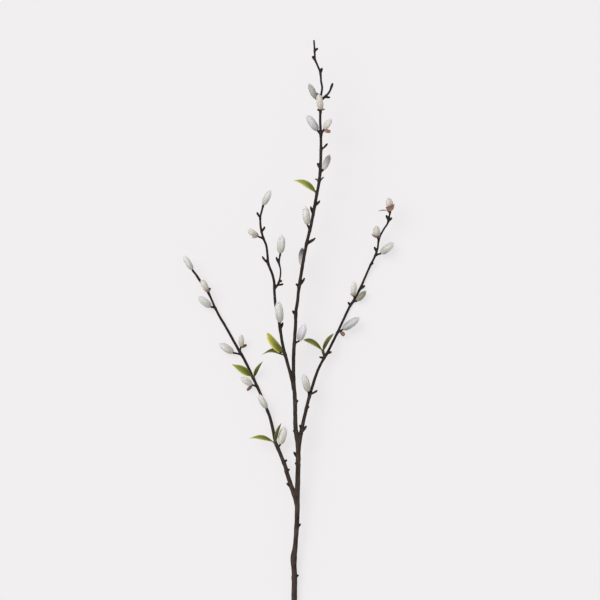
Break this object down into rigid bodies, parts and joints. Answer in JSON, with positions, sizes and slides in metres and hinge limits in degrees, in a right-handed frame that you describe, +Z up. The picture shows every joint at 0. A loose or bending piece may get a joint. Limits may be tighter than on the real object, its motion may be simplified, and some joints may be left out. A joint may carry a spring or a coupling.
{
  "type": "willow twig",
  "caption": "Cut pussy willow twig lying down: dark forked woody stem with pointed buds, silky grey catkins, rust-brown bud scales and young folded leaves, for a vase or table decoration.",
  "frame": {"origin": "on the surface that the twig lies on, under the middle of its box", "axes": "+Y from the cut end to the tip, +X to the right of that seen from above, +Z up from the surface"},
  "size_m": [0.3168, 0.8993, 0.0889],
  "materials": {
    "bark": "dull",
    "catkin_silk": "silky",
    "bud_scale": "satin",
    "leaf": "satin"
  },
  "bodies": {
    "root": {"bud_scale_left_2": "bud_scale", "bud_scale_left_5": "bud_scale", "bud_scale_left_6": "bud_scale", "bud_scale_main_2": "bud_scale", "bud_scale_main_4": "bud_scale", "bud_scale_middle_2": "bud_scale", "bud_scale_right_1": "bud_scale", "bud_scale_right_2": "bud_scale", "bud_scale_right_4": "bud_scale", "bud_scale_right_6": "bud_scale", "catkin_left_1": "catkin_silk", "catkin_left_2": "catkin_silk", "catkin_left_3": "catkin_silk", "catkin_left_4": "catkin_silk", "catkin_left_5": "catkin_silk", "catkin_left_6": "catkin_silk", "catkin_left_7": "catkin_silk", "catkin_left_8": "catkin_silk", "catkin_main_1": "catkin_silk", "catkin_main_2": "catkin_silk", "catkin_main_3": "catkin_silk", "catkin_main_4": "catkin_silk", "catkin_main_5": "catkin_silk", "catkin_main_6": "catkin_silk", "catkin_main_7": "catkin_silk", "catkin_main_8": "catkin_silk", "catkin_middle_1": "catkin_silk", "catkin_middle_2": "catkin_silk", "catkin_middle_3": "catkin_silk", "catkin_middle_4": "catkin_silk", "catkin_right_1": "catkin_silk", "catkin_right_2": "catkin_silk", "catkin_right_3": "catkin_silk", "catkin_right_4": "catkin_silk", "catkin_right_5": "catkin_silk", "catkin_right_6": "catkin_silk", "catkin_right_7": "catkin_silk", "leaf_left_1": "leaf", "leaf_left_2": "leaf", "leaf_left_3": "leaf", "leaf_left_4": "leaf", "leaf_main_1": "leaf", "leaf_main_2": "leaf", "leaf_main_3": "leaf", "leaf_middle_1": "leaf", "leaf_middle_2": "leaf", "leaf_right_1": "leaf", "leaf_right_2": "leaf", "leaf_right_3": "leaf", "woody_stem": "bark"}
  },
  "joints": []
}
